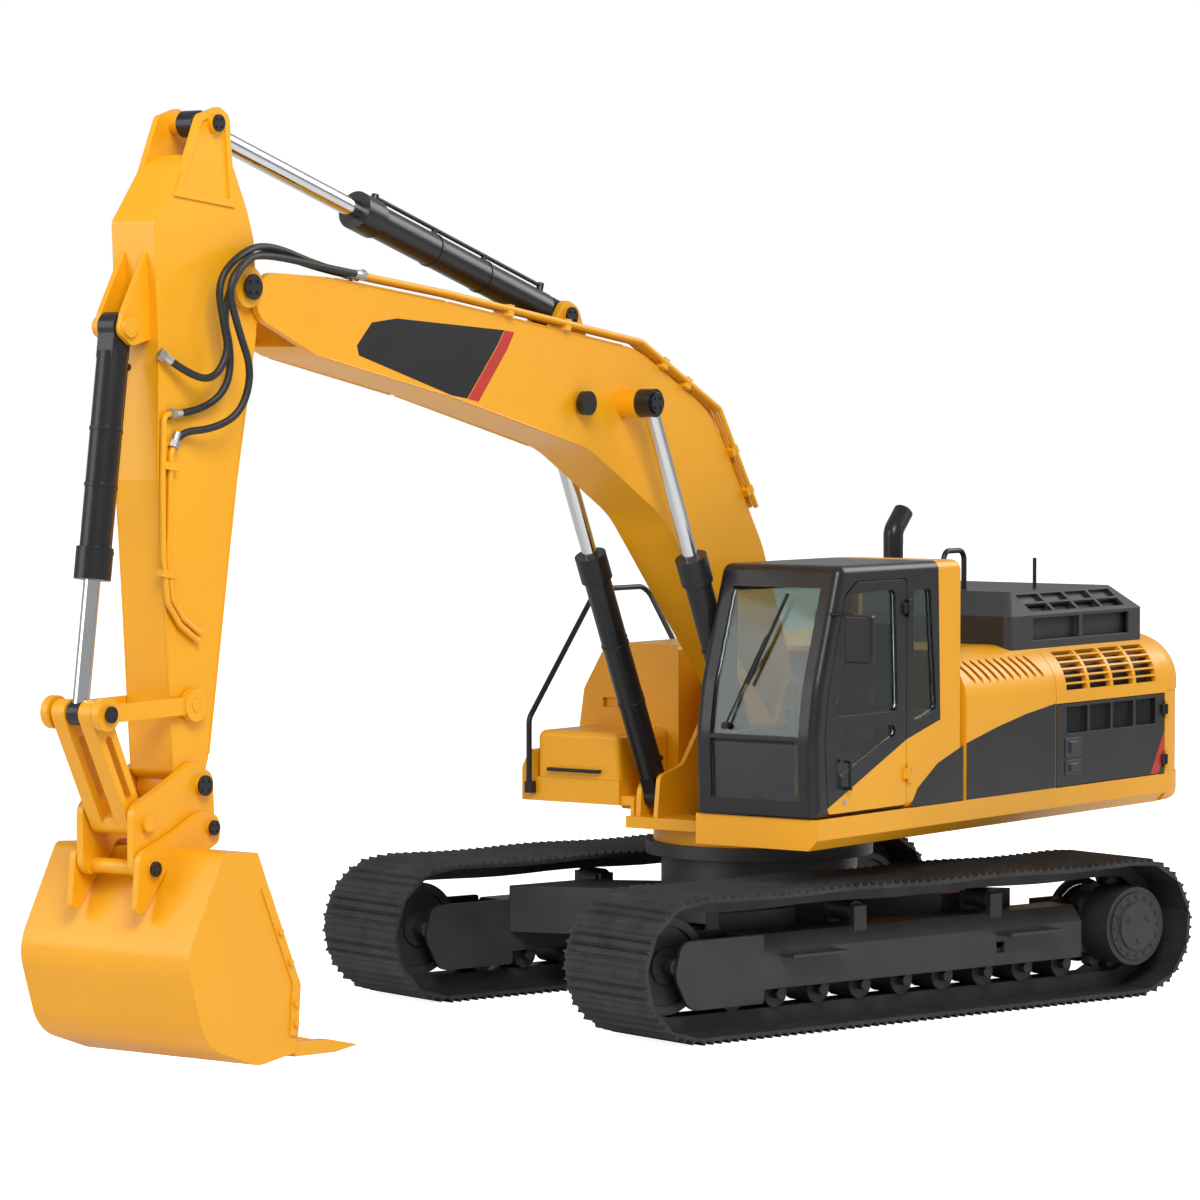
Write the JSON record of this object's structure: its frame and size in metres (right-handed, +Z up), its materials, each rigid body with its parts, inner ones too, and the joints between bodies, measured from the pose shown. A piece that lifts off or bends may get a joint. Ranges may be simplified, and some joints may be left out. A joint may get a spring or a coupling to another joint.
{
  "type": "crawler excavator",
  "caption": "Tracked hydraulic excavator with a swinging upper, a three-part arm and a bucket on a quick coupler.",
  "frame": {"origin": "on the swing axis, on the ground under the tracks", "axes": "+X forward along the boom, +Y to the machine's left, +Z up; the undercarriage stands turned 15.7 degrees about Z under the upper"},
  "size_m": [10.7858, 4.8088, 5.9357],
  "materials": {
    "yellow_paint": "satin",
    "black_paint": "satin",
    "track_steel": "matt",
    "worn_steel": "worn",
    "chrome_rod": "polished",
    "glass": "clear",
    "seat_cloth": "matt",
    "black_plastic": "matt",
    "hose_rubber": "matt"
  },
  "bodies": {
    "undercarriage": {"track_left": "track_steel", "track_right": "track_steel", "final_drive_left": "track_steel", "final_drive_right": "track_steel", "idler_left": "track_steel", "idler_right": "track_steel", "rollers_left": "track_steel", "rollers_right": "track_steel", "track_frame_left": "black_paint", "track_frame_right": "black_paint", "car_body": "black_paint", "swing_ring": "black_paint"},
    "upper": {"revolving_frame": "yellow_paint", "counterweight": "yellow_paint", "engine_housing": "yellow_paint", "engine_block": "track_steel", "tank": "yellow_paint", "storage_box": "yellow_paint", "exhaust": "black_paint", "handrail": "black_paint", "cab_shell": "black_paint", "cab_rear": "yellow_paint", "cab_glass": "glass", "seat": "seat_cloth", "console": "black_paint"},
    "boom": {"boom": "yellow_paint", "boom_lamp": "black_paint", "boom_lines": "yellow_paint", "hose_a": "hose_rubber", "hose_b": "hose_rubber", "hose_c": "hose_rubber"},
    "stick": {"stick": "yellow_paint", "stick_lines": "yellow_paint"},
    "bucket_and_coupler": {"coupler": "yellow_paint", "bucket": "yellow_paint", "bucket_teeth": "worn_steel"},
    "boom_barrel_left": {"boom_cylinder_barrel_left": "black_paint"},
    "boom_barrel_right": {"boom_cylinder_barrel_right": "black_paint"},
    "boom_rod_left": {"boom_cylinder_rod_left": "chrome_rod"},
    "boom_rod_right": {"boom_cylinder_rod_right": "chrome_rod"},
    "stick_barrel": {"stick_cylinder_barrel": "black_paint"},
    "stick_rod": {"stick_cylinder_rod": "chrome_rod"},
    "bucket_barrel": {"bucket_cylinder_barrel": "black_paint"},
    "bucket_rod": {"bucket_cylinder_rod": "chrome_rod"},
    "idler_links": {"idler_links": "yellow_paint"},
    "h_link": {"h_link": "yellow_paint"},
    "cab_door": {"cab_door": "black_paint", "door_panel": "yellow_paint", "door_glass": "glass"},
    "hood": {"engine_hood": "black_paint", "hood_rail": "black_paint"},
    "side_door_rear": {"side_door_rear": "yellow_paint"},
    "pump_door": {"pump_door": "yellow_paint"},
    "storage_lid": {"storage_lid": "yellow_paint"}
  },
  "joints": [
    {"name": "swing", "type": "hinge", "parent": "undercarriage", "child": "upper", "pos_m": [0, 0, 1.1], "axis": [0, 0, 1], "continuous": true},
    {"name": "boom_lift", "type": "hinge", "parent": "upper", "child": "boom", "pos_m": [0, 0, 2.05], "axis": [0, -1, 0], "range_deg": [-68.4, 34.7]},
    {"name": "stick_crowd", "type": "hinge", "parent": "boom", "child": "stick", "pos_m": [5.78823, 0, 4.87311], "axis": [0, 1, 0], "range_deg": [-85, 35], "deforming": ["hose_a", "hose_b", "hose_c"]},
    {"name": "bucket_curl", "type": "hinge", "parent": "stick", "child": "bucket_and_coupler", "pos_m": [6.25676, 0, 1.91498], "axis": [0, 1, 0], "range_deg": [-64, 68]},
    {"name": "boom_cylinder_turn_left", "type": "hinge", "parent": "upper", "child": "boom_barrel_left", "pos_m": [0.65, 0.418, 1.43], "axis": [0, -1, 0], "range_deg": [-69.1, 35.05]},
    {"name": "boom_cylinder_slide_left", "type": "slide", "parent": "boom_barrel_left", "child": "boom_rod_left", "axis": [0.4244, 0, 0.9055], "range_m": [-0.9676, 0.4909]},
    {"name": "boom_cylinder_turn_right", "type": "hinge", "parent": "upper", "child": "boom_barrel_right", "pos_m": [0.65, -0.418, 1.43], "axis": [0, -1, 0], "range_deg": [-69.1, 35.05]},
    {"name": "boom_cylinder_slide_right", "type": "slide", "parent": "boom_barrel_right", "child": "boom_rod_right", "axis": [0.4244, 0, 0.9055], "range_m": [-0.9676, 0.4909]},
    {"name": "stick_cylinder_turn", "type": "hinge", "parent": "boom", "child": "stick_barrel", "pos_m": [2.40851, 0, 4.74007], "axis": [0, 1, 0], "range_deg": [-3.14, 1.29]},
    {"name": "stick_cylinder_slide", "type": "slide", "parent": "stick_barrel", "child": "stick_rod", "axis": [0.9573, 0, 0.2891], "range_m": [-1.2988, 0.5349]},
    {"name": "bucket_cylinder_turn", "type": "hinge", "parent": "stick", "child": "bucket_barrel", "pos_m": [6.74638, 0, 4.62798], "axis": [0, 1, 0], "range_deg": [-1.71, 1.82]},
    {"name": "bucket_cylinder_slide", "type": "slide", "parent": "bucket_barrel", "child": "bucket_rod", "axis": [0.1415, 0, -0.9899], "range_m": [-0.5903, 0.6272]},
    {"name": "idler_link_turn", "type": "hinge", "parent": "stick", "child": "idler_links", "pos_m": [6.2884, 0, 2.39282], "axis": [0, 1, 0], "range_deg": [-47.64, 50.62]},
    {"name": "h_link_turn", "type": "hinge", "parent": "idler_links", "child": "h_link", "pos_m": [7.06776, 0, 2.37998], "axis": [0, 1, 0], "range_deg": [-30.34, 28.55]},
    {"name": "cab_door_hinge", "type": "hinge", "parent": "upper", "child": "cab_door", "pos_m": [0.434, 1.509, 1.5], "axis": [0, 0, 1], "range_deg": [0, 130]},
    {"name": "hood_hinge", "type": "hinge", "parent": "upper", "child": "hood", "pos_m": [-1.2, 0, 2.462], "axis": [0, 1, 0], "range_deg": [0, 55]},
    {"name": "side_door_rear_hinge", "type": "hinge", "parent": "upper", "child": "side_door_rear", "pos_m": [-3.132, 1.509, 1.5], "axis": [0, 0, 1], "range_deg": [0, 100]},
    {"name": "pump_door_hinge", "type": "hinge", "parent": "upper", "child": "pump_door", "pos_m": [-3.132, -1.509, 1.5], "axis": [0, 0, -1], "range_deg": [0, 100]},
    {"name": "storage_lid_hinge", "type": "hinge", "parent": "upper", "child": "storage_lid", "pos_m": [0.204, 0, 1.856], "axis": [0, -1, 0], "range_deg": [0, 80]}
  ],
  "couplings": [
    {"joint": "boom_cylinder_turn_left", "follows": "boom_lift", "ratio": 0.9904},
    {"joint": "boom_cylinder_slide_left", "follows": "boom_lift", "m_per_rad": 0.79451},
    {"joint": "boom_cylinder_turn_right", "follows": "boom_lift", "ratio": 0.9904},
    {"joint": "boom_cylinder_slide_right", "follows": "boom_lift", "m_per_rad": 0.79451},
    {"joint": "stick_cylinder_turn", "follows": "stick_crowd", "ratio": 0.0362},
    {"joint": "stick_cylinder_slide", "follows": "stick_crowd", "m_per_rad": 0.85825},
    {"joint": "bucket_cylinder_turn", "follows": "bucket_curl", "ratio": 0.0262},
    {"joint": "bucket_cylinder_slide", "follows": "bucket_curl", "m_per_rad": 0.51799},
    {"joint": "idler_link_turn", "follows": "bucket_curl", "ratio": 0.7298},
    {"joint": "h_link_turn", "follows": "bucket_curl", "ratio": -0.4374}
  ]
}
